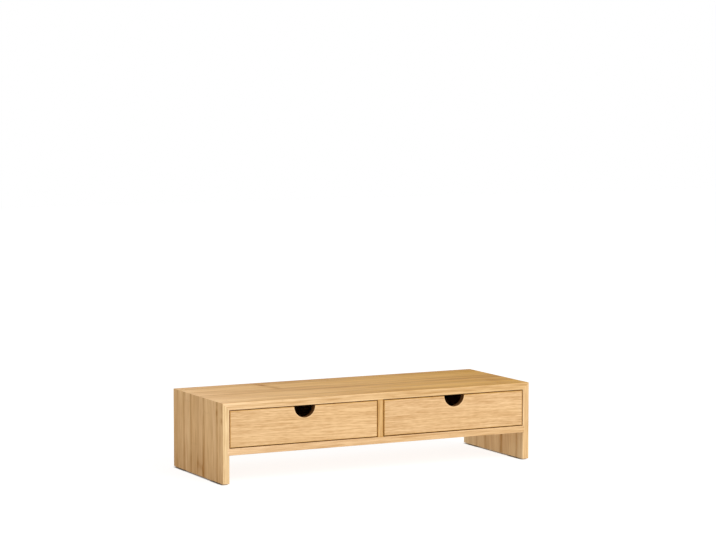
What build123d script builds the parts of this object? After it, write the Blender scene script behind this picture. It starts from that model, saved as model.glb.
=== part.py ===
from build123d import *
import os

# A monitor stand of laminated bamboo board. Two side boards carry a top with mitred corners.
# Two drawers run side by side on a shelf under the top, and the space under the shelf is open
# from front to back for a keyboard.
# The origin is the middle of the base. X runs along the front, the front faces -Y and Z is up.
# Sizes are in millimetres.

# Overall size, with the pads that it stands on
stand_width = 560.0
stand_depth = 200.0
stand_height = 130.0
keyboard_height = 46.3

# Boards of the frame
frame_board = 11.5
shelf_board = 11.0
divider_board = 10.0
back_board = 5.0
corner_easing = 0.7
opening_easing = 0.5

# Joints of the frame
shelf_housing = 3.0
back_rebate = 7.0
spline_width = 8.0
spline_thickness = 3.0
spline_from_inside = 4.6
spline_end_inset = 15.0
frame_dowel_radius = 3.0
frame_dowel_length = 24.0
frame_dowel_bite = 6.0
shelf_dowel_inset = 30.0
shelf_dowel_count = 3
divider_dowel_inset = 40.0
divider_dowel_count = 2

# Screws that hold the back board
screw_length = 14.0
screw_shank_radius = 1.3
screw_head_radius = 2.6
screw_head_height = 1.6
screw_tip_length = 2.5
screw_recess_span = 2.8
screw_recess_slot = 0.6
screw_recess_depth = 1.0
screw_row_inset = 34.0
screw_row_count = 4

# Pads under the side boards
pad_length = 36.0
pad_width = 9.0
pad_thickness = 1.2
pad_corner = 2.0
pad_inset = 12.0

# Drawers
drawer_front_board = 10.0
drawer_wall_board = 8.0
drawer_wall_drop = 4.0
drawer_bottom_board = 3.0
drawer_bottom_lift = 4.0
groove_depth = 4.0
notch_radius = 18.3
front_easing = 0.8
wall_easing = 0.8
drawer_dowel_radius = 2.0
drawer_dowel_length = 20.0
drawer_dowel_bite = 7.0
drawer_dowel_inset = 14.0

# Clearances
front_reveal = 1.5
running_gap = 0.2
stop_gap = 0.3
rebate_play = 0.3
groove_play = 0.2
spline_play = 0.1
screw_play = 0.1
dowel_play = 0.1
dowel_end_gap = 0.5
dowel_chamfer = 0.5

# How far a cut runs past the face that it opens
cut_past = 1.0

# Faces that several pieces of the frame share
half_width = stand_width / 2
front_y = -stand_depth / 2
back_y = stand_depth / 2
panel_y = back_y - back_board
inner_x = half_width - frame_board
divider_x = divider_board / 2
base_z = pad_thickness
top_under_z = stand_height - frame_board
shelf_z = keyboard_height
shelf_top_z = shelf_z + shelf_board

# Faces of a drawer that is centred on X = 0
drawer_x = (inner_x - divider_x) / 2 - front_reveal
wall_x = drawer_x - drawer_wall_board
front_back_y = front_y + drawer_front_board
drawer_rear_y = panel_y - stop_gap
back_wall_y = drawer_rear_y - drawer_wall_board
drawer_z = shelf_top_z + running_gap
front_top_z = top_under_z - front_reveal
wall_top_z = front_top_z - drawer_wall_drop
bottom_z = drawer_z + drawer_bottom_lift


def block(x, y, z):
    """A box between the (low, high) limits on each axis."""
    limits = (x, y, z)
    middle = [(low + high) / 2 for low, high in limits]
    size = [high - low for low, high in limits]
    return Pos(*middle) * Box(*size)


def on_side(side, near, far):
    """The (low, high) limits between two distances from the middle, left (-1) or right (1)."""
    return sorted((side * near, side * far))


def rod(centre, along, length, radius):
    """A round rod about its centre, along X, Y or Z."""
    turns = {"X": (0, 90, 0), "Y": (-90, 0, 0), "Z": (0, 0, 0)}
    return Pos(*centre) * Rot(*turns[along]) * Cylinder(radius, length)


def across_depth(corners):
    """A prism as deep as the stand, from its outline as (x, z) corners."""
    outline = Plane.XZ * make_face(Polyline(*corners, close=True))
    return extrude(outline, amount=stand_depth / 2, both=True)


def ease(solid, radius, points):
    """Round the edges that run through the given points."""
    chosen = [solid.edges().sort_by_distance(point)[0] for point in points]
    return fillet(chosen, radius)


def spread(low, high, count):
    """Evenly spaced places from low to high, or the middle for a single one."""
    if count == 1:
        return [(low + high) / 2]
    step = (high - low) / (count - 1)
    return [low + step * index for index in range(count)]


def group(pieces, x=0):
    """The separate solids of the pieces as one shape, moved along X."""
    return Compound([Pos(x, 0, 0) * solid for piece in pieces for solid in piece.solids()])


def dowels(places, along, length, radius):
    """Dowels with chamfered ends, about the given centres."""
    plain = [rod(place, along, length, radius) for place in places]
    return [chamfer(piece.edges().filter_by(GeomType.CIRCLE), dowel_chamfer) for piece in plain]


def dowel_holes(places, along, length, radius):
    """The holes for dowels, a little wider and longer than they are."""
    return [rod(place, along, length + 2 * dowel_end_gap, radius + dowel_play) for place in places]


# The dowels of the frame, as their length and radius
frame_dowel = (frame_dowel_length, frame_dowel_radius)


def shelf_dowel_places(side):
    """Centres of the dowels between the shelf and one side board."""
    deep_end_x = inner_x + shelf_housing + frame_dowel_bite - dowel_end_gap
    x = side * (deep_end_x - frame_dowel_length / 2)
    z = shelf_z + shelf_board / 2
    rows = spread(front_y + shelf_dowel_inset, panel_y - shelf_dowel_inset, shelf_dowel_count)
    return [(x, y, z) for y in rows]


def divider_dowel_places():
    """Centres of the dowels at the lower and upper ends of the divider."""
    rise = frame_dowel_length / 2 - frame_dowel_bite + dowel_end_gap
    rows = spread(front_y + divider_dowel_inset, panel_y - divider_dowel_inset, divider_dowel_count)
    return [(0, y, z) for y in rows for z in (shelf_top_z + rise, top_under_z - rise)]


def mitre_spline(side, play):
    """The strip glued into both boards across a mitre, or its groove when play is given."""
    x = side * (inner_x + spline_from_inside)
    z = top_under_z + spline_from_inside
    length = stand_depth - 2 * spline_end_inset + 2 * play
    strip = Box(spline_width + 2 * play, length, spline_thickness + 2 * play)
    return Pos(x, 0, z) * Rot(0, side * 45, 0) * strip


def screw_body(play):
    """A countersunk screw that points to -Y from its head, or its hole when play is given."""
    shank = screw_shank_radius + play
    profile = [
        (0, 0),
        (screw_head_radius + play, 0),
        (shank, -screw_head_height),
        (shank, -screw_length + screw_tip_length),
        (0, -screw_length - play),
    ]
    return revolve(make_face(Polyline(*profile, close=True)), Axis.Y)


def at_screws(shape):
    """Copies of the shape at every screw of the back board."""
    columns = spread(-inner_x + screw_row_inset, inner_x - screw_row_inset, screw_row_count)
    rows = (shelf_top_z - back_rebate / 2, top_under_z + back_rebate / 2)
    return [Pos(x, back_y, z) * shape for z in rows for x in columns]


def make_screws():
    """The back board's screws, each with a cross recess in its head."""
    depth = (-screw_recess_depth, cut_past)
    span = (-screw_recess_span / 2, screw_recess_span / 2)
    slot = (-screw_recess_slot / 2, screw_recess_slot / 2)
    one_screw = screw_body(0) - [block(span, depth, slot), block(slot, depth, span)]
    return group(at_screws(one_screw))


# The outside of the stand above its pads, with every edge eased
whole_box = block((-half_width, half_width), (front_y, back_y), (base_z, stand_height))
envelope = fillet(whole_box.edges(), corner_easing)

# The rebate round the drawer bays that the back board lies in
back_pocket = block(
    (-inner_x - back_rebate, inner_x + back_rebate),
    (panel_y, back_y + cut_past),
    (shelf_top_z - back_rebate, top_under_z + back_rebate),
)


def make_top():
    """The top board, mitred at both ends."""
    corners = [
        (-half_width, stand_height),
        (half_width, stand_height),
        (inner_x, top_under_z),
        (-inner_x, top_under_z),
    ]
    board = across_depth(corners) & envelope
    board = ease(board, opening_easing, [(0, front_y, top_under_z)])
    cuts = [back_pocket, *at_screws(screw_body(screw_play))]
    cuts += [mitre_spline(side, spline_play) for side in (-1, 1)]
    cuts += dowel_holes(divider_dowel_places(), "Z", *frame_dowel)
    return board - cuts


def make_side(side):
    """A side board, mitred at its top, with a housing for the end of the shelf."""
    corners = [
        (side * half_width, base_z),
        (side * half_width, stand_height),
        (side * inner_x, top_under_z),
        (side * inner_x, base_z),
    ]
    board = across_depth(corners) & envelope
    leg_z = (base_z + shelf_z) / 2
    board = ease(board, opening_easing, [(side * inner_x, y, leg_z) for y in (front_y, back_y)])
    housing = block(
        on_side(side, inner_x - cut_past, inner_x + shelf_housing),
        (front_y - cut_past, back_y + cut_past),
        (shelf_z, shelf_top_z),
    )
    cuts = [housing, back_pocket, mitre_spline(side, spline_play)]
    cuts += dowel_holes(shelf_dowel_places(side), "X", *frame_dowel)
    return board - cuts


def make_shelf():
    """The shelf that the drawers run on, let into both side boards."""
    reach = inner_x + shelf_housing
    board = block((-reach, reach), (front_y, back_y), (shelf_z, shelf_top_z))
    eased = [(0, front_y, shelf_z), (0, front_y, shelf_top_z), (0, back_y, shelf_z)]
    board = ease(board, opening_easing, eased)
    cuts = [back_pocket, *at_screws(screw_body(screw_play))]
    cuts += dowel_holes(shelf_dowel_places(-1) + shelf_dowel_places(1), "X", *frame_dowel)
    cuts += dowel_holes(divider_dowel_places(), "Z", *frame_dowel)
    return board - cuts


def make_divider():
    """The upright board between the two drawers."""
    board = block((-divider_x, divider_x), (front_y, panel_y), (shelf_top_z, top_under_z))
    middle_z = (shelf_top_z + top_under_z) / 2
    board = ease(board, opening_easing, [(x, front_y, middle_z) for x in (-divider_x, divider_x)])
    return board - dowel_holes(divider_dowel_places(), "Z", *frame_dowel)


def make_back():
    """The thin board that closes the drawer bays at the back and stops the drawers."""
    reach_x = inner_x + back_rebate - rebate_play
    low_z = shelf_top_z - back_rebate + rebate_play
    high_z = top_under_z + back_rebate - rebate_play
    board = block((-reach_x, reach_x), (panel_y, back_y), (low_z, high_z))
    return board - at_screws(screw_body(screw_play))


def make_pad(side, end):
    """One anti-slip pad under a side board, near its front (-1) or back (1) end."""
    x = side * (half_width - frame_board / 2)
    y = end * (stand_depth / 2 - pad_inset - pad_length / 2)
    plan = Pos(x, y, 0) * RectangleRounded(pad_width, pad_length, pad_corner)
    return extrude(plan, amount=pad_thickness)


# The groove round the inside of a drawer that holds its bottom
bottom_groove = block(
    (-wall_x - groove_depth, wall_x + groove_depth),
    (front_back_y - groove_depth, back_wall_y + groove_depth),
    (bottom_z, bottom_z + drawer_bottom_board + groove_play),
)

# The dowels of a drawer, as their length and radius, and the heights that they lie at
drawer_dowel = (drawer_dowel_length, drawer_dowel_radius)
drawer_dowel_rows = (drawer_z + drawer_dowel_inset, wall_top_z - drawer_dowel_inset)


def front_dowel_places(side):
    """Centres of the dowels between a drawer's front and one of its side walls."""
    x = side * (drawer_x - drawer_wall_board / 2)
    y = front_back_y - drawer_dowel_bite + dowel_end_gap + drawer_dowel_length / 2
    return [(x, y, z) for z in drawer_dowel_rows]


def back_dowel_places(side):
    """Centres of the dowels that pass through a side wall into a drawer's back wall."""
    x = side * (drawer_x - drawer_dowel_length / 2)
    y = back_wall_y + drawer_wall_board / 2
    return [(x, y, z) for z in drawer_dowel_rows]


def make_drawer_front():
    """A drawer front with its finger notch, eased round the front and in the notch."""
    board = block(
        (-drawer_x, drawer_x),
        (front_y, front_back_y),
        (shelf_top_z + front_reveal, front_top_z),
    )
    board -= rod((0, front_y, front_top_z), "Y", 2 * (drawer_front_board + cut_past), notch_radius)
    shown_edges = board.faces().sort_by(Axis.Y)[0].edges()
    notch_bottom = (0, front_back_y, front_top_z - notch_radius)
    notch_rear = board.edges().sort_by_distance(notch_bottom)[0]
    board = fillet([*shown_edges, notch_rear], front_easing)
    both_sides = front_dowel_places(-1) + front_dowel_places(1)
    return board - [bottom_groove, *dowel_holes(both_sides, "Y", *drawer_dowel)]


def make_drawer_wall(side):
    """One side wall of a drawer."""
    x = on_side(side, wall_x, drawer_x)
    board = block(x, (front_back_y, drawer_rear_y), (drawer_z, wall_top_z))
    middle_y = (front_back_y + drawer_rear_y) / 2
    board = ease(board, wall_easing, [(edge_x, middle_y, wall_top_z) for edge_x in x])
    cuts = [bottom_groove]
    cuts += dowel_holes(front_dowel_places(side), "Y", *drawer_dowel)
    cuts += dowel_holes(back_dowel_places(side), "X", *drawer_dowel)
    return board - cuts


def make_drawer_back_wall():
    """The back wall of a drawer, between its side walls."""
    board = block((-wall_x, wall_x), (back_wall_y, drawer_rear_y), (drawer_z, wall_top_z))
    board = ease(board, wall_easing, [(0, y, wall_top_z) for y in (back_wall_y, drawer_rear_y)])
    both_sides = back_dowel_places(-1) + back_dowel_places(1)
    return board - [bottom_groove, *dowel_holes(both_sides, "X", *drawer_dowel)]


def make_drawer_bottom():
    """The thin bottom of a drawer, held in the groove all round."""
    tongue = groove_depth - groove_play
    return block(
        (-wall_x - tongue, wall_x + tongue),
        (front_back_y - tongue, back_wall_y + tongue),
        (bottom_z, bottom_z + drawer_bottom_board),
    )


def frame_pieces():
    """Every piece of the frame by name."""
    pieces = {
        "top_panel": make_top(),
        "lower_shelf": make_shelf(),
        "centre_divider": make_divider(),
        "divider_dowels": group(dowels(divider_dowel_places(), "Z", *frame_dowel)),
        "back_panel": make_back(),
        "back_screws": make_screws(),
    }
    for name, side in (("left", -1), ("right", 1)):
        pieces[name + "_side_panel"] = make_side(side)
        pieces[name + "_mitre_spline"] = mitre_spline(side, 0)
        pieces[name + "_shelf_dowels"] = group(dowels(shelf_dowel_places(side), "X", *frame_dowel))
        pieces["front_" + name + "_pad"] = make_pad(side, -1)
        pieces["rear_" + name + "_pad"] = make_pad(side, 1)
    return pieces


def drawer_pieces():
    """Every piece of a drawer that is centred on X = 0, by name."""
    front_places = front_dowel_places(-1) + front_dowel_places(1)
    back_places = back_dowel_places(-1) + back_dowel_places(1)
    return {
        "front": make_drawer_front(),
        "left_wall": make_drawer_wall(-1),
        "right_wall": make_drawer_wall(1),
        "back_wall": make_drawer_back_wall(),
        "bottom": make_drawer_bottom(),
        "front_dowels": group(dowels(front_places, "Y", *drawer_dowel)),
        "back_dowels": group(dowels(back_places, "X", *drawer_dowel)),
    }


os.makedirs("parts", exist_ok=True)
for node, shape in frame_pieces().items():
    export_step(shape, "parts/" + node + ".step")

one_drawer = drawer_pieces()
for name, side in (("left", -1), ("right", 1)):
    bay_x = side * (inner_x + divider_x) / 2
    for piece, shape in one_drawer.items():
        export_step(group([shape], bay_x), "parts/" + name + "_drawer_" + piece + ".step")
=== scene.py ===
"""Finish, floor, light and camera for a bamboo monitor stand with two drawers.

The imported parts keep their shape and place, and each gets a material that follows how it is cut.
Places are in metres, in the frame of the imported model, and in millimetres inside the materials.
"""

import math
from dataclasses import dataclass
from types import SimpleNamespace

import bpy
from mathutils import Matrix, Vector


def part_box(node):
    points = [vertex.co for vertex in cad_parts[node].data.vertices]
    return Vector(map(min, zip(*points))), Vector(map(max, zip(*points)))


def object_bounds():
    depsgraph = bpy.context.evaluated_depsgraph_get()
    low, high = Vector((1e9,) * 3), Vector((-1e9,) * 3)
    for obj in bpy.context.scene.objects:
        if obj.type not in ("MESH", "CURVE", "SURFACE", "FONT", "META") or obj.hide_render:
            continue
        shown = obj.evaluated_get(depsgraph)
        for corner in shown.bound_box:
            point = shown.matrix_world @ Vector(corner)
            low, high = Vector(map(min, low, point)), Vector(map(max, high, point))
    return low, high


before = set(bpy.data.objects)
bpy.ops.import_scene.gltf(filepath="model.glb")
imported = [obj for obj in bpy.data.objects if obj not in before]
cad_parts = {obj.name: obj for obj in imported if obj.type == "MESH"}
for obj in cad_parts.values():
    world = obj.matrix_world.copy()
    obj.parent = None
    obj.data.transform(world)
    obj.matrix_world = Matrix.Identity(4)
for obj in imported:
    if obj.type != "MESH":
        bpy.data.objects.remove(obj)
cad_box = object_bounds()

# Colours, as linear red, green and blue
pale_cane = (0.97, 0.66, 0.365)
deep_cane = (0.45, 0.20, 0.04)
amber_tint = (0.80, 0.71, 0.47)
olive_tint = (0.88, 1.0, 0.97)
umber = (0.30, 0.12, 0.015)
# dark brown of the finger notches' walls
wall_brown = (0.15, 0.060, 0.015)
birch = (0.72, 0.50, 0.28)
zinc = (0.56, 0.57, 0.59)
rubber = (0.045, 0.042, 0.040)
white = (1.0, 1.0, 1.0)

# Lengths, in millimetres
metre = 1000.0
notch_radius = 18.3        # of the finger notch in the top edge of each drawer front
notch_highlight_offset = 0.9            # from the notch's edge to the middle of its bright rim, a painted highlight
notch_highlight_width = 1.1
knuckle_spacing = 270.0    # along the cane
knuckle_line_width = 1.3
knuckle_smudge_width = 10.0
knuckle_wave = 2.5         # how far a knuckle's line strays along the cane
seam_shade_width = 2.6
seam_stray = 3.0           # how far the seams lie from an even spacing
grain_bend = 1.2           # how far the grain strays across a board
whole_length = 800.0       # longer than any board

# Where each of these starts and where it is full, in millimetres
seam_fade = (0.45, 0.15)         # from the middle of a seam
layer_fade = (0.35, 0.10)        # from where two layers of a board meet
rim_fade = (1.5, 0.4)           # from the nearest edge of a board
dark_wall_fade = (1.0, 0.5)          # outside the notch's edge
foot_shade_fade = (12.0, -62.0)        # along a board, from its middle

# Layers that a board is glued from, and how far each one's strips are moved, in strip widths
layers = 3
layer_shift = 0.4

# What these add to the cane's depth, where 0 is pale and 1 is deep
usual_depth = 0.25
end_grain_depth = 0.25
pore_depth = 0.20
# the notch's bright rim is a painted highlight
notch_highlight_depth = -0.16

# What these add to its warmth, where 0 is untinted and 1 is amber
strip_warmth = 0.20
cloud_warmth = 0.12

# How far these take it towards umber
thread_umber = 0.07
layer_line_umber = 0.10

# Camera, from the lines of the photograph
camera_place = (-1.79228, -3.53761, 0.66158)
camera_dip = 0.0854
camera_turn = 0.4711
camera_lens = 121.09
sensor_width = 36.0

# Light. A brightness of 1 gives a surface that faces it its own colour.
key_direction = (0.35, -0.75, 0.56)
key_distance = 2.6
key_size = 2.0
key_brightness = 0.62
sky_brightness = 0.50
backdrop_brightness = 1.0
bounce_glow = 0.38
bounce_grey = (0.40, 0.40, 0.40)

# Floor. Its contact shadow lies where a foot is close by in the direction of contact_from.
floor_size = 14.0
floor_glow = 0.86
floor_albedo = 0.30
contact_albedo = 0.40
contact_reach = 0.0045
contact_from = (0.95, 0.0, 0.30)
contact_full = 0.52        # share of open air where the shadow is full
contact_end = 0.85         # share of open air where it ends


@dataclass(frozen=True)
class Look:
    """How one kind of board is figured. Widths and lengths are in millimetres.

    The others, apart from roughness, are shares of the way from pale to deep cane, or of the
    way to umber for seams and knuckles.
    """

    strip: float                   # width of the glued strips
    tone: float                    # how much one strip differs from the next
    streak: float                  # soft streaks
    streak_width: float
    seam: float                    # thin line between two strips
    shade: float                   # soft darkness beside a seam
    streak_length: float = 180.0
    ply: float = 0.03              # how much one layer differs from the next
    grain: float = 0.08            # fine streaks, on the wide faces
    fibre: float = 0.14            # the finest lines
    knuckle: float = 0.35          # marks across the strips
    flame: float = 0.0             # wavy lines of flat-sawn wood
    flame_width: float = 0.0
    flame_length: float = 0.0
    roughness: float = 0.60


@dataclass(frozen=True)
class Mark:
    """A dark mark on one wide face of a board, in millimetres from the board's middle."""

    along: float
    across: float
    length: float
    width: float
    strength: float                # below 0 for a pale mark
    side: int                      # 1 or -1, for the high or low side of the board's last axis
    lean: float = 0.0              # how far it moves along the grain for each step across


@dataclass(frozen=True)
class Tone:
    """How amber, bright, deep and olive a face is, and the painted light and shade that the grain's
    far end adds.
    """

    warmth: float = 0.30
    # The shade is set face by face for the light each gets: partly its own tone, partly painted light
    # and shade.
    shade: float = 1.0
    painted_warmth_end: float = 0.0
    painted_shade_end: float = 0.0
    depth: float = 0.0
    olive: float = 0.0


@dataclass(frozen=True)
class RimWearAndLight:
    """How much more amber and deeper a board's rim is: wear, a painted highlight and painted gap
    shade.
    """

    warmth: float = 0.0
    depth: float = -0.10


@dataclass(frozen=True)
class Board:
    """One board: its axes (along its grain, across its wide face, through it) and its colour.

    The rear is the wide face on the low side of the last axis, and is like the face as a rule.
    """

    axes: str
    look: Look
    face: Tone = Tone()
    edge: Tone = Tone(0.15, 1.04)
    rear: Tone = None
    # the rim's colour is partly wear, and partly painted highlight and painted gap shade
    rim: RimWearAndLight = RimWearAndLight()
    marks: tuple = ()
    seam_at: float = 2.0           # place of one seam across the board
    foot_shade: float = 0.0              # painted shade: how much deeper and darker the low end of the grain is
    notch: bool = False            # with a finger notch


def band(across, width, strength, side):
    """A dark or pale band that runs the whole length of a board's face."""
    return Mark(0.0, across, whole_length, width, strength, side)


side_look = Look(
    strip=26.3, tone=0.08, streak=0.26, streak_width=6.5, streak_length=50.0,
    seam=0.20, shade=0.14, grain=0.06, fibre=0.12, knuckle=0.15,
)
top_look = Look(
    strip=20.0, tone=0.16, streak=0.34, streak_width=8.0, streak_length=160.0,
    seam=0.24, shade=0.10, ply=0.04, grain=0.32, fibre=0.18, knuckle=0.22,
)
front_look = Look(
    strip=300.0, tone=0.0, streak=0.14, streak_width=7.0,
    seam=0.0, shade=0.0, ply=0.06, grain=0.0, fibre=0.10, knuckle=0.0,
    flame=0.50, flame_width=1.9, flame_length=55.0,
)
wall_look = Look(
    strip=6.5, tone=0.10, streak=0.12, streak_width=4.0,
    seam=0.20, shade=0.05, roughness=0.66,
)
thin_look = Look(
    strip=21.0, tone=0.08, streak=0.15, streak_width=5.0,
    seam=0.22, shade=0.06, roughness=0.66,
    flame=0.12, flame_width=2.6, flame_length=60.0,
)

top_marks = (
    Mark(-135.0, 66.0, 14.0, 32.0, 0.50, 1, lean=-0.20),
    Mark(-137.0, 66.0, 3.0, 30.0, 0.40, 1, lean=-0.20),
    Mark(-128.0, 32.0, 14.0, 28.0, 0.52, 1, lean=-0.20),
    Mark(240.0, -56.0, 24.0, 70.0, 0.20, 1, lean=0.10),
    Mark(-250.0, -66.0, 160.0, 28.0, -0.18, 1),
    Mark(190.0, -66.0, 260.0, 28.0, -0.22, 1),
    Mark(-164.0, -56.0, 60.0, 40.0, 0.12, 1),
    band(-90.0, 22.0, 0.20, 1),
    band(-9.0, 12.0, 0.28, 1),
    band(31.0, 22.0, -0.20, 1),
    band(66.0, 12.0, -0.16, 1),
    band(80.0, 12.0, 0.12, 1),
    band(93.0, 14.0, 0.28, 1),
)
left_marks = (
    Mark(-44.0, 0.0, 24.0, 6.0, 0.50, -1),
    Mark(-51.0, -21.0, 26.0, 6.0, 0.46, -1),
    Mark(-48.0, -12.0, 11.0, 26.0, 0.22, -1, lean=0.25),
    Mark(60.0, -77.0, 7.0, 6.0, 0.12, -1),
    Mark(47.0, -77.0, 11.0, 7.0, 0.34, -1),
    Mark(33.0, -79.0, 12.0, 7.0, 0.14, -1),
    Mark(54.0, -95.0, 18.0, 6.0, 0.36, -1),
    Mark(36.0, -95.0, 10.0, 6.0, 0.50, -1),
    band(-78.0, 6.0, 0.22, -1),
    band(-24.0, 7.0, 0.28, -1),
    band(28.0, 7.0, 0.20, -1),
    band(56.0, 7.0, 0.24, -1),
    # This wide band darkens the back of the face: painted shade.
    band(78.0, 50.0, 0.10, -1),
)
right_marks = (
    Mark(18.0, -30.0, 22.0, 6.0, 0.42, 1),
    Mark(21.0, 44.0, 18.0, 5.0, 0.36, 1),
    band(-62.0, 7.0, 0.24, 1),
    band(-8.0, 7.0, 0.22, 1),
    band(40.0, 7.0, 0.26, 1),
    # This wide band darkens the back of the face, as on the left side: painted shade.
    band(74.0, 40.0, 0.10, 1),
    band(-80.0, 7.0, 0.28, -1),
    band(-52.0, 6.0, 0.15, -1),
    band(-29.0, 7.0, 0.45, -1),
    band(24.0, 8.0, 0.22, -1),
)

cut_edge = Tone(0.15, 1.05, depth=0.06)
# The drawer insides are painted olive against the warm light that bounces inside them: painted light.
inside = Tone(0.05, 1.02, olive=0.50)
boards = {
    # The top is painted paler and brighter at its left end, a painted reflection, and darker and more
    # amber towards its right end, painted shade.
    "top_panel": Board(
        "XYZ", top_look, marks=top_marks,
        face=Tone(0.18, 1.21, painted_warmth_end=1.28, painted_shade_end=-0.18),
        edge=Tone(-0.28, 1.09, painted_warmth_end=0.72, painted_shade_end=-0.11, olive=0.15),
    ),
    # The left side's wide faces are painted brighter because they face away from the lamp: painted
    # light.
    "left_side_panel": Board(
        "ZYX", side_look, marks=left_marks, foot_shade=0.15,
        face=Tone(0.45, 1.21),
        edge=Tone(-0.06, 1.115, olive=0.50),
    ),
    # The right leg's inner face, its rear, is painted brighter and olive for the light under the
    # shelf: painted light.
    "right_side_panel": Board(
        "ZYX", side_look, marks=right_marks,
        face=Tone(0.45, 1.05),
        rear=Tone(-0.30, 1.07, olive=0.70),
        edge=Tone(0.28, 1.02, olive=0.20),
    ),
    # The shelf's front edge is painted paler at its left end and darker towards its right: painted
    # light and shade.
    "lower_shelf": Board(
        "XYZ", top_look, seam_at=7.0,
        edge=Tone(-0.25, 1.045, painted_warmth_end=0.52, painted_shade_end=-0.10),
    ),
    "centre_divider": Board(
        "ZYX", side_look, seam_at=4.0,
        face=Tone(0.45),
        edge=Tone(0.68, 1.03),
        rim=RimWearAndLight(0.60, 0.10),
    ),
    "back_panel": Board("XZY", thin_look),
    "left_drawer_front": Board(
        "XZY", front_look, Tone(0.17), cut_edge, rim=RimWearAndLight(1.00, -0.30), notch=True,
    ),
    # The right drawer front is painted a little darker than the left because the lamp lights it more:
    # painted shade.
    "right_drawer_front": Board(
        "XZY", front_look, Tone(0.21, 0.97), cut_edge, rim=RimWearAndLight(1.20, -0.06), notch=True,
    ),
}
for drawer in ("left_drawer_", "right_drawer_"):
    boards[drawer + "bottom"] = Board("XYZ", thin_look, inside)
    boards[drawer + "left_wall"] = Board("YZX", wall_look, inside)
    boards[drawer + "right_wall"] = Board("YZX", wall_look, inside)
    boards[drawer + "back_wall"] = Board("XZY", wall_look, inside)


class Number:
    """A number that varies over a surface. Arithmetic with it adds math nodes to its tree."""

    def __init__(self, tree, socket):
        self.tree = tree
        self.socket = socket

    def __add__(self, other):
        return self.tree.math("ADD", self, other)

    __radd__ = __add__

    def __sub__(self, other):
        return self.tree.math("SUBTRACT", self, other)

    def __rsub__(self, other):
        return self.tree.math("SUBTRACT", other, self)

    def __mul__(self, other):
        return self.tree.math("MULTIPLY", self, other)

    def __truediv__(self, other):
        return self.tree.math("DIVIDE", self, other)

    def __abs__(self):
        return self.tree.math("ABSOLUTE", self)

    def floor(self):
        """The whole number below."""
        return self.tree.math("FLOOR", self)

    def nearest(self):
        """The nearest whole number."""
        return self.tree.math("ROUND", self)

    def clamp(self):
        """Held between 0 and 1."""
        return self.tree.math("ADD", self, 0.0, use_clamp=True)

    def bump(self, width):
        """A round peak of 1 where the number is 0, about as wide each way as the width."""
        share = self / width
        return self.tree.math("EXPONENT", share * share * -1.0)

    def blend(self, first, second):
        """From the first number, where this one is 0, to the second, where it is 1."""
        return self * (second - first) + first

    def step(self, start, end):
        """A smooth step from 0, at start, to 1, at end."""
        inputs = {"Value": self, "From Min": start, "From Max": end}
        made = self.tree.node("MapRange", inputs, interpolation_type="SMOOTHSTEP")
        return Number(self.tree, made.outputs["Result"])


class Tree:
    """The nodes of one material or world."""

    def __init__(self, owner):
        owner.use_nodes = True
        self.nodes = owner.node_tree.nodes
        self.links = owner.node_tree.links
        self.nodes.clear()

    def node(self, kind, inputs, **settings):
        """A new node, with its settings and what feeds its inputs, by name or index."""
        made = self.nodes.new("ShaderNode" + kind)
        for name, value in settings.items():
            setattr(made, name, value)
        for name, value in inputs.items():
            self.feed(made.inputs[name], value)
        return made

    def feed(self, socket, value):
        """Link a number or socket to an input, or set it to a plain value."""
        if isinstance(value, Number):
            value = value.socket
        if isinstance(value, bpy.types.NodeSocket):
            self.links.new(value, socket)
        elif socket.type == "RGBA":
            socket.default_value = (*value, 1.0)
        else:
            socket.default_value = value

    def math(self, operation, *values, **settings):
        """One math node."""
        made = self.node("Math", dict(enumerate(values)), operation=operation, **settings)
        return Number(self, made.outputs[0])

    def vector(self, x, y, z):
        """A vector from three numbers."""
        return self.node("CombineXYZ", {"X": x, "Y": y, "Z": z}).outputs[0]

    def numbers(self, vector, axes):
        """A vector's parts, in the order of the axes."""
        parts = self.node("SeparateXYZ", {0: vector}).outputs
        return [Number(self, parts[axis]) for axis in axes]

    def surface(self, what):
        """The object's own coordinates, or its normal, at each point."""
        return self.node("TexCoord", {}).outputs[what]

    def noise(self, x, y, z, detail=2.0, distortion=0.0):
        """Smooth noise about one unit across, with about 1 as its range each side of 0."""
        made = self.node("TexNoise", {
            "Vector": self.vector(x, y, z),
            "Scale": 1.0,
            "Detail": detail,
            "Distortion": distortion,
        })
        return (Number(self, made.outputs["Fac"]) - 0.5) * 3.0

    def speckle(self, grains, detail):
        """Even noise from 0 to 1, with about this many grains to a metre."""
        inputs = {"Vector": self.surface("Object"), "Scale": grains, "Detail": detail}
        return Number(self, self.node("TexNoise", inputs).outputs["Fac"])

    def random(self, x, y, z):
        """A random number from 0 to 1 that stays the same while x, y and z do."""
        made = self.node("TexWhiteNoise", {"Vector": self.vector(x, y, z)})
        return Number(self, made.outputs["Value"])

    def mixed(self, share, first, second):
        """A colour between two others, or past them where the share is below 0 or over 1."""
        inputs = {0: share, 6: first, 7: second}
        return self.node("Mix", inputs, data_type="RGBA", clamp_factor=False).outputs[2]

    def tinted(self, colour, tint):
        """A colour seen through another."""
        return self.node("VectorMath", {0: colour, 1: tint}, operation="MULTIPLY").outputs[0]

    def scaled(self, colour, factor):
        """A colour made lighter or darker."""
        made = self.node("VectorMath", {0: colour, "Scale": factor}, operation="SCALE")
        return made.outputs["Vector"]

    def relief(self, height, strength, distance):
        """A normal that follows small heights, where a height of 1 is the distance in metres."""
        inputs = {"Height": height, "Strength": strength, "Distance": distance}
        return self.node("Bump", inputs).outputs[0]

    def principled(self, inputs):
        """Finish the tree with a surface of these inputs."""
        self.finish(self.node("BsdfPrincipled", inputs).outputs[0])

    def finish(self, surface, kind="Material"):
        """The tree's output."""
        self.node("Output" + kind, {"Surface": surface})


def new_material(name):
    """A material and its empty tree."""
    material = bpy.data.materials.new(name)
    return material, Tree(material)


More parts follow.
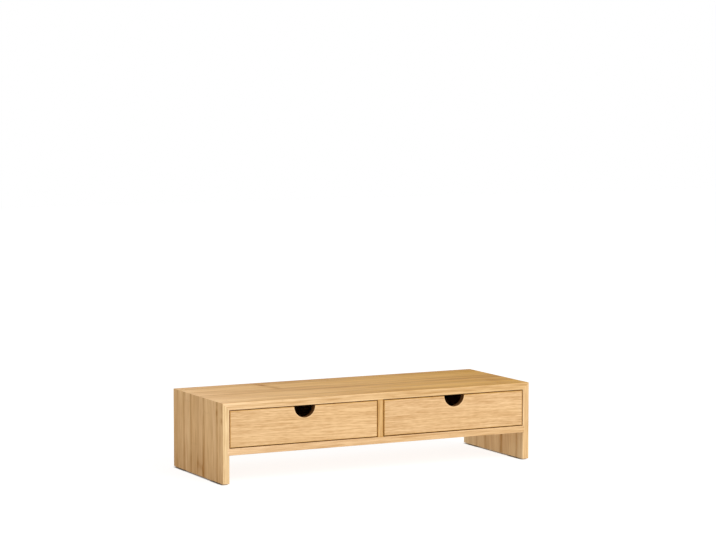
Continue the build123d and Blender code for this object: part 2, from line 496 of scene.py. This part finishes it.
def dress(node, material):
    """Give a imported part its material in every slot."""
    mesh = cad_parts[node].data
    if not mesh.materials:
        mesh.materials.append(material)
    for index in range(len(mesh.materials)):
        mesh.materials[index] = material


def place_from(tree, origin, axes):
    """Millimetres from a point of the model, along each of the axes."""
    point = tree.node("Mapping", {
        "Vector": tree.surface("Object"),
        "Location": [-metre * value for value in origin],
        "Scale": (metre, metre, metre),
    })
    return tree.numbers(point.outputs[0], axes)


def board_place(tree, node, axes):
    """Millimetres from a board's middle, along its axes, with its half sizes in that order."""
    low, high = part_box(node)
    half = (high - low) / 2
    place = place_from(tree, (low + high) / 2, axes)
    return place, [metre * half["XYZ".index(axis)] for axis in axes]


def edge_distance(place, half):
    """How far a point on a box's surface is from the nearest edge of the box.

    It is the middle one of the distances to the box's three pairs of faces.
    """
    tree = place[0].tree
    first, second, third = [size - abs(value) for value, size in zip(place, half)]
    lower = tree.math("MINIMUM", first, second)
    higher = tree.math("MAXIMUM", first, second)
    return tree.math("MAXIMUM", lower, tree.math("MINIMUM", higher, third))


def facing(tree, axis):
    """1 on faces that look along an axis, either way, and 0 elsewhere."""
    return abs(tree.numbers(tree.surface("Normal"), axis)[0]).step(0.6, 0.9)


def grained(place, length, width, detail=1.0, shift=0.0, layer=0.0, distortion=0.0):
    """Noise that is stretched along the grain, about as long and as wide as given."""
    along, across, through = place
    return along.tree.noise(
        along / length + shift, across / width, through / width + layer, detail, distortion,
    )


def laminate(wood):
    """The strips that a board is glued from: each one's random numbers, and the seams."""
    across, through = wood.place[1:]
    width = wood.about.look.strip
    random, seed = wood.tree.random, wood.seed
    ply_height = 2 * wood.half[2] / layers
    ply = (through / ply_height).nearest()
    stray = wood.tree.noise(across / 40.0, ply, seed, 0.0) * seam_stray
    strips = (across + stray - wood.about.seam_at) / width + (ply + 1.0) * layer_shift
    cell = strips.floor()
    to_seam = (0.5 - abs(strips - cell - 0.5)) * width
    to_ply_line = abs(abs(through) - ply_height / 2)
    strength = random(strips.nearest(), ply, seed + 6.0).blend(0.3, 1.1)
    return SimpleNamespace(
        cell=cell,
        tone=random(cell, ply, seed + 1.0) - 0.5,
        hue=random(cell, ply, seed + 2.0) - 0.5,
        shift=random(cell, ply, seed + 3.0),
        ply=random(ply, seed, 5.0) - 0.5,
        seam=to_seam.step(*seam_fade) * strength,
        shade=to_seam.bump(seam_shade_width) * strength,
        ply_line=to_ply_line.step(*layer_fade),
    )


def cane_grain(wood):
    """The cane's own figure, from single fibres to broad clouds, which bends along the board.

    The shift gives each strip of each board a figure of its own.
    """
    along, across, through = wood.place
    look = wood.about.look
    shift = wood.strips.shift * 60.0 + wood.seed * 7.0
    bend = grained(wood.place, length=120.0, width=25.0, layer=shift) * grain_bend
    flow = (along, across + bend, through)
    return SimpleNamespace(
        flow=flow,
        fibre=grained(flow, length=36.0, width=0.9, detail=3.0, shift=shift),
        threads=grained(flow, length=110.0, width=1.3, shift=shift).step(0.45, 0.85),
        fine=grained(flow, length=110.0, width=2.4, shift=shift),
        streak=grained(flow, look.streak_length, look.streak_width, detail=2.0, shift=shift),
        broad=wood.tree.noise(along / 200.0, across / 30.0, wood.seed * 3.0, 1.0),
        patches=grained(wood.place, length=9.0, width=2.0, detail=2.0),
    )


def board_parts(wood):
    """Where a board shows end grain, narrow faces, wide faces and its rim of wear and painted light.
    """
    axes = wood.about.axes
    cut = facing(wood.tree, axes[0])
    narrow = facing(wood.tree, axes[1])
    if wood.about.notch:
        narrow = (narrow + cut).clamp()
    worn_and_lit_rim = (edge_distance(wood.place, wood.half) + wood.grain.fibre * 0.25).step(*rim_fade)
    return SimpleNamespace(cut=cut, narrow=narrow, wide=1.0 - narrow, worn_and_lit_rim=worn_and_lit_rim)


def knuckles(wood):
    """Dark marks across a strip where the cane had a joint, and the smudges beside them."""
    along, across, through = wood.place
    tree, strips = wood.tree, wood.strips
    count = along / knuckle_spacing + strips.shift
    index = count.floor()
    distance = (count - index - 0.5) * knuckle_spacing
    wave = tree.noise(across / 5.0, along / 30.0, through / 5.0) * knuckle_wave
    smudges = grained(wood.place, length=14.0, width=2.2, detail=2.0).step(-0.1, 0.9)
    strength = tree.random(strips.cell, index, wood.seed + 4.0).step(0.2, 0.9)
    line = (distance + wave).bump(knuckle_line_width)
    smudge = distance.bump(knuckle_smudge_width) * smudges
    return (line * 0.45 + smudge * 0.55) * strength * wood.about.look.knuckle


def mark_shape(wood, spot):
    """How strongly one of the board's own marks shows."""
    along, across, through = wood.place
    sideways = across - spot.across
    lengthways = along - sideways * spot.lean - spot.along
    shape = lengthways.bump(spot.length / 2) * sideways.bump(spot.width / 2)
    face = (through * spot.side).step(0.0, wood.half[2] * 0.6)
    return shape * face * spot.strength


def placed_marks(wood):
    """The board's own marks, broken up a little by patches and clouds."""
    total = sum(mark_shape(wood, spot) for spot in wood.about.marks)
    cloud = grained(wood.place, length=22.0, width=9.0)
    return total * (wood.grain.patches * 0.25 + cloud * 0.6 + 1.0)


def flame(wood):
    """The fine wavy lines of flat-sawn bamboo, long ones with short dashes over them."""
    along, across, through = wood.grain.flow
    look = wood.about.look
    slope = (along, across + along * 0.02, through)
    lines = grained(
        slope, look.flame_length, look.flame_width, detail=2.0, layer=wood.seed, distortion=0.15,
    )
    dashes = grained(slope, length=12.0, width=1.2, layer=wood.seed)
    return lines * 0.70 + dashes * 0.48


def notch_places(wood):
    """Where a drawer front's finger notch has its dark wall, and its bright rim, a painted highlight.
    """
    along, across = wood.place[:2]
    drop = across - wood.half[1]
    reach = wood.tree.math("SQRT", along * along + drop * drop)
    outside = reach - notch_radius
    front = facing(wood.tree, wood.about.axes[2])
    # The notch's wall is darkened towards dark brown.
    dark_wall = outside.step(*dark_wall_fade) * (1.0 - front)
    # Painted highlight: a pale ring on the front face where the notch's eased edge catches light.
    rim = (outside - notch_highlight_offset).bump(notch_highlight_width) * front
    return dark_wall, rim


def tone_along(tone, far):
    """A tone's warmth, shade, depth and olive, with the painted light and shade of the grain's far
    end.
    """
    warmth = far * tone.painted_warmth_end + tone.warmth
    shade = far * tone.painted_shade_end + tone.shade
    return warmth, shade, tone.depth, tone.olive


def board_tone(wood):
    """A board's tone at each point: that of its face, of its rear or of its edges."""
    along, through = wood.place[0], wood.place[2]
    about = wood.about
    far = wood.tree.math("POWER", (along / (2 * wood.half[0]) + 0.5).clamp(), 0.6)
    behind = through.step(0.0, -0.6 * wood.half[2])
    faces = (about.face, about.rear or about.face, about.edge)
    warmth, shade, depth, olive = [
        wood.parts.narrow.blend(behind.blend(face, rear), edge)
        for face, rear, edge in zip(*[tone_along(tone, far) for tone in faces])
    ]
    return SimpleNamespace(warmth=warmth, shade=shade, depth=depth, olive=olive)


def cane_depth(wood):
    """How far the cane's colour is from pale to deep."""
    along, across, through = wood.place
    look, strips, grain = wood.about.look, wood.strips, wood.grain
    narrow, wide, cut = wood.parts.narrow, wood.parts.wide, wood.parts.cut
    pores = wood.tree.noise(across / 0.6, through / 0.6, along / 4.0, 1.0).step(0.1, 0.5)
    depth = strips.tone * narrow.blend(1.0, 0.3) * look.tone * 2.0
    depth = depth + strips.ply * look.ply * 2.0
    depth = depth + grain.fibre * narrow.blend(1.0, 3.0) * look.fibre
    depth = depth + grain.streak * narrow.blend(1.0, 1.2) * look.streak
    depth = depth + grain.fine * wide * look.grain
    depth = depth + cut * end_grain_depth + pores * cut * pore_depth
    depth = depth + strips.shade * wide * look.shade
    if wood.about.marks:
        depth = depth + placed_marks(wood) * wide
    if look.flame:
        depth = depth + flame(wood) * look.flame
    # The rim is paler as wear and as a painted highlight where the eased edges catch light.
    worn_and_lit_rim = wood.parts.worn_and_lit_rim * wood.about.rim.depth
    return depth + wood.low + worn_and_lit_rim + wood.tone.depth + usual_depth


def cane_colour(wood, depth):
    """The colour of the cane at its depth, with its tints, threads, seams and knuckles."""
    tree, strips, grain, parts = wood.tree, wood.strips, wood.grain, wood.parts
    warmth = wood.tone.warmth + strips.hue * strip_warmth + grain.broad * cloud_warmth
    # On the drawer fronts and the divider the rim is painted amber to colour the shaded gaps: painted
    # shade.
    warmth = warmth + parts.worn_and_lit_rim * wood.about.rim.warmth
    amber = tree.mixed(warmth, white, amber_tint)
    tint = tree.tinted(amber, tree.mixed(wood.tone.olive, white, olive_tint))
    colour = tree.tinted(tree.mixed(depth.clamp(), pale_cane, deep_cane), tint)
    # The low end is painted darker as well: painted shade near the floor.
    colour = tree.scaled(colour, wood.tone.shade - wood.low * 0.5)
    dark = grain.threads * thread_umber + strips.seam * parts.wide * wood.about.look.seam
    dark = dark + strips.ply_line * layer_line_umber + wood.knuckle
    return tree.mixed(dark.clamp(), colour, umber)


def lacquer(wood, colour):
    """Satin lacquer over a board, with the relief of its fibres, threads, seams and knuckles."""
    strips, grain, parts = wood.strips, wood.grain, wood.parts
    height = grain.fibre * 0.02 - grain.threads * 0.02
    height = height - strips.seam * 0.04 - strips.ply_line * 0.03 + wood.knuckle * 0.04
    rough = grain.fibre * 0.05 + parts.worn_and_lit_rim * 0.08 + parts.cut * 0.15
    rough = rough + wood.knuckle * 0.10 + wood.about.look.roughness
    satin_wood(wood.tree, colour, rough.clamp(), height)


def bamboo(node, about, seed):
    """Glued bamboo: strips, fibres, flame, knuckles, seams, end grain, and edges of wear and painted
    light.
    """
    material, tree = new_material("bamboo_" + node)
    wood = SimpleNamespace(tree=tree, about=about, seed=seed)
    wood.place, wood.half = board_place(tree, node, about.axes)
    wood.strips = laminate(wood)
    wood.grain = cane_grain(wood)
    wood.parts = board_parts(wood)
    wood.knuckle = knuckles(wood)
    wood.tone = board_tone(wood)
    # Painted shade: the low end of the grain is deeper and darker, standing in for the shade near the
    # floor.
    wood.low = wood.place[0].step(*foot_shade_fade) * wood.parts.wide * about.foot_shade
    depth = cane_depth(wood)
    if about.notch:
        dark_wall, rim = notch_places(wood)
        dark_wall_share = dark_wall * (wood.grain.patches * 0.12 + 0.93)
        # The notch's rim is painted paler: a painted highlight.
        colour = cane_colour(wood, depth + rim * notch_highlight_depth)
        colour = tree.mixed(dark_wall_share.clamp(), colour, wall_brown)
    else:
        colour = cane_colour(wood, depth)
    lacquer(wood, colour)
    dress(node, material)


def satin_wood(tree, colour, rough, height):
    """Wood with a satin surface, and its relief in millimetres."""
    tree.principled({
        "Base Color": colour,
        "Roughness": rough,
        "Normal": tree.relief(height, 0.8, 1 / metre),
        "IOR": 1.45,
        "Specular IOR Level": 0.10,
    })


def hardwood(name, axis):
    """Smooth dowel wood, with fine grain along one axis."""
    material, tree = new_material(name)
    place = place_from(tree, (0.0, 0.0, 0.0), axis + "XYZ".replace(axis, ""))
    fibre = grained(place, length=30.0, width=0.5, detail=3.0)
    ring = grained(place, length=90.0, width=1.8)
    cut = facing(tree, axis)
    shade = fibre * 0.09 + ring * 0.10 - cut * 0.28 + 1.0
    rough = fibre * 0.06 + cut * 0.10 + 0.68
    satin_wood(tree, tree.scaled(birch, shade), rough.clamp(), fibre * 0.02)
    return material


def zinc_plate():
    """Zinc on the screws, a little cloudy, with fine pits."""
    material, tree = new_material("zinc_plate")
    clouds = tree.speckle(900.0, detail=3.0)
    pits = tree.speckle(4200.0, detail=2.0)
    tree.principled({
        "Base Color": tree.scaled(zinc, clouds.blend(0.75, 1.25)),
        "Roughness": clouds.blend(0.22, 0.47),
        "Metallic": 1.0,
        "Normal": tree.relief(pits, 0.4, 0.00002),
    })
    return material


def pad_rubber():
    """Matt foam rubber under the side boards."""
    material, tree = new_material("pad_rubber")
    pores = tree.speckle(2600.0, detail=2.0)
    dust = tree.speckle(160.0, detail=3.0)
    tree.principled({
        "Base Color": tree.scaled(rubber, dust * 0.8 + pores * 0.5 + 0.35),
        "Roughness": dust.blend(0.80, 0.95),
        "Normal": tree.relief(pores, 0.7, 0.0001),
        "Specular IOR Level": 0.3,
    })
    return material


def dress_all():
    """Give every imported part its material."""
    for seed, (node, about) in enumerate(boards.items(), 1):
        bamboo(node, about, seed)
    rods = {axis: hardwood("hardwood_" + axis.lower(), axis) for axis in "XYZ"}
    for side in ("left", "right"):
        dress(side + "_mitre_spline", rods["Y"])
        dress(side + "_shelf_dowels", rods["X"])
        dress(side + "_drawer_front_dowels", rods["Y"])
        dress(side + "_drawer_back_dowels", rods["X"])
    dress("divider_dowels", rods["Z"])
    dress("back_screws", zinc_plate())
    pad = pad_rubber()
    for end in ("front", "rear"):
        for side in ("left", "right"):
            dress(end + "_" + side + "_pad", pad)


def seen_directly(tree):
    """1 for rays from the camera, in a mirror or through glass, and 0 for what lights a surface."""
    path = tree.node("LightPath", {}).outputs
    rays = [Number(tree, path["Is " + kind + " Ray"]) for kind in ("Camera", "Glossy", "Transmission")]
    return sum(rays).clamp()


def make_world():
    """White to look at, and soft light from all round."""
    world = bpy.data.worlds.new("studio")
    bpy.context.scene.world = world
    tree = Tree(world)
    sky = tree.node("Background", {"Color": white, "Strength": sky_brightness})
    backdrop = tree.node("Background", {"Color": white, "Strength": backdrop_brightness})
    inputs = {0: seen_directly(tree), 1: sky.outputs[0], 2: backdrop.outputs[0]}
    tree.finish(tree.node("MixShader", inputs).outputs[0], "World")


def glowing(tree, glow, colour):
    """A matt surface that also glows by itself."""
    light = tree.node("Emission", {"Color": white, "Strength": glow})
    matt = tree.node("BsdfDiffuse", {"Color": colour})
    return tree.node("AddShader", {0: light.outputs[0], 1: matt.outputs[0]}).outputs[0]


def floor_material():
    """A floor that looks white, keeps a soft shadow and throws light back up."""
    material, tree = new_material("floor")
    inputs = {"Distance": contact_reach, "Normal": tree.vector(*contact_from)}
    open_air = tree.node("AmbientOcclusion", inputs, samples=12)
    clear_of_feet = Number(tree, open_air.outputs["AO"]).step(contact_full, contact_end)
    albedo = clear_of_feet.blend(contact_albedo, floor_albedo)
    shown = glowing(tree, clear_of_feet * floor_glow, tree.scaled(white, albedo))
    bounce = glowing(tree, bounce_glow, bounce_grey)
    top = tree.node("MixShader", {0: seen_directly(tree), 1: bounce, 2: shown}).outputs[0]
    under = tree.node("NewGeometry", {}).outputs["Backfacing"]
    clear = tree.node("BsdfTransparent", {}).outputs[0]
    tree.finish(tree.node("MixShader", {0: under, 1: top, 2: clear}).outputs[0])
    return material


def make_floor():
    """A plain floor at the height of the stand's feet, clear when seen from below."""
    reach = floor_size / 2
    corners = [(-reach, -reach, 0), (reach, -reach, 0), (reach, reach, 0), (-reach, reach, 0)]
    mesh = bpy.data.meshes.new("floor")
    mesh.from_pydata(corners, [], [(0, 1, 2, 3)])
    mesh.materials.append(floor_material())
    floor = bpy.data.objects.new("floor", mesh)
    bpy.context.scene.collection.objects.link(floor)


def make_key():
    """A broad soft lamp in front of the stand, to the right and above."""
    data = bpy.data.lights.new("key", "AREA")
    data.shape = "DISK"
    data.size = key_size
    data.energy = key_brightness * (math.pi * key_distance) ** 2
    key = bpy.data.objects.new("key", data)
    middle = (cad_box[0] + cad_box[1]) / 2
    towards = Vector(key_direction).normalized()
    key.location = middle + towards * key_distance
    key.rotation_euler = towards.to_track_quat("Z", "Y").to_euler()
    bpy.context.scene.collection.objects.link(key)


def make_camera():
    """The camera at the photograph's place and angle."""
    data = bpy.data.cameras.new("camera")
    data.lens = camera_lens
    data.sensor_width = sensor_width
    data.sensor_fit = "HORIZONTAL"
    camera = bpy.data.objects.new("camera", data)
    camera.location = camera_place
    camera.rotation_euler = (math.pi / 2 - camera_dip, 0.0, -camera_turn)
    bpy.context.scene.collection.objects.link(camera)
    bpy.context.scene.camera = camera


make_camera()
make_world()
make_floor()
make_key()
dress_all()
bpy.context.scene.view_settings.view_transform = "Standard"
